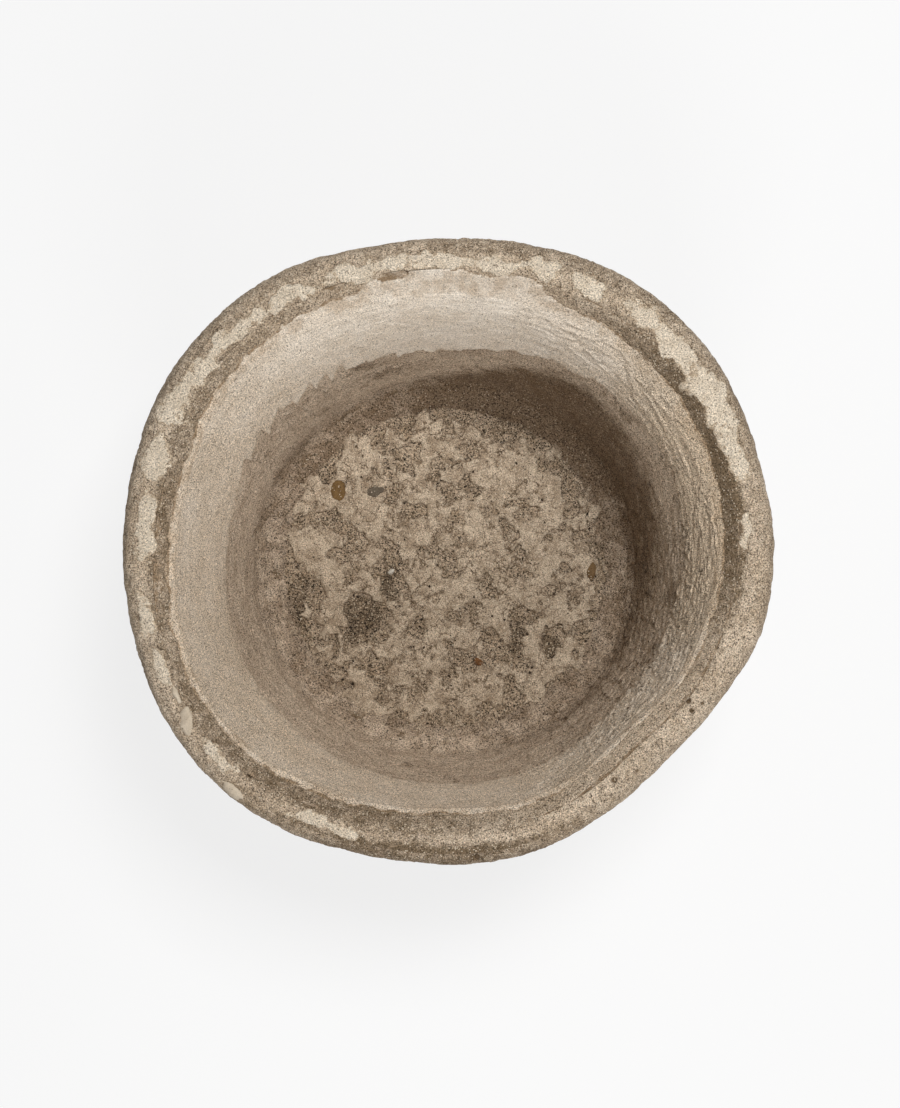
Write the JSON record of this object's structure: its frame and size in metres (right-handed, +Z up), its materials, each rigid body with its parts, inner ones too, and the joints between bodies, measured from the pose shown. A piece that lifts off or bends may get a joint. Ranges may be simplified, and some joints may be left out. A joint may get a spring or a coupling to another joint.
{
  "type": "stone trough planter",
  "caption": "Heavy round stone trough with a thick worn rim, bevelled mouth, lime-coated cavity wall and a worn gritty floor.",
  "frame": {"origin": "on the ground, under the middle of the block's outline", "axes": "+Z up out of the mouth, +X to the right along the widest way across the rim"},
  "size_m": [0.589, 0.566, 0.3],
  "materials": {
    "stone": "hewn and weathered, matt",
    "undercoat": "combed lime mortar, matt",
    "finish_coat": "trowelled lime plaster, matt",
    "bed": "coarse gritty mortar, matt",
    "floor_skim": "worn lime skim, matt",
    "pebbles": "worn, matt",
    "grit": "broken, matt",
    "rim_skim": "weathered lime skim, matt",
    "splashes": "smooth lime splashes, matt"
  },
  "bodies": {
    "root": {"stone_trough": "stone", "wall_undercoat": "undercoat", "wall_finish_coat": "finish_coat", "floor_bed": "bed", "floor_skim": "floor_skim", "bedded_pebbles": "pebbles", "loose_grit": "grit", "rim_skim_patches": "rim_skim", "rim_splashes": "splashes"}
  },
  "joints": []
}
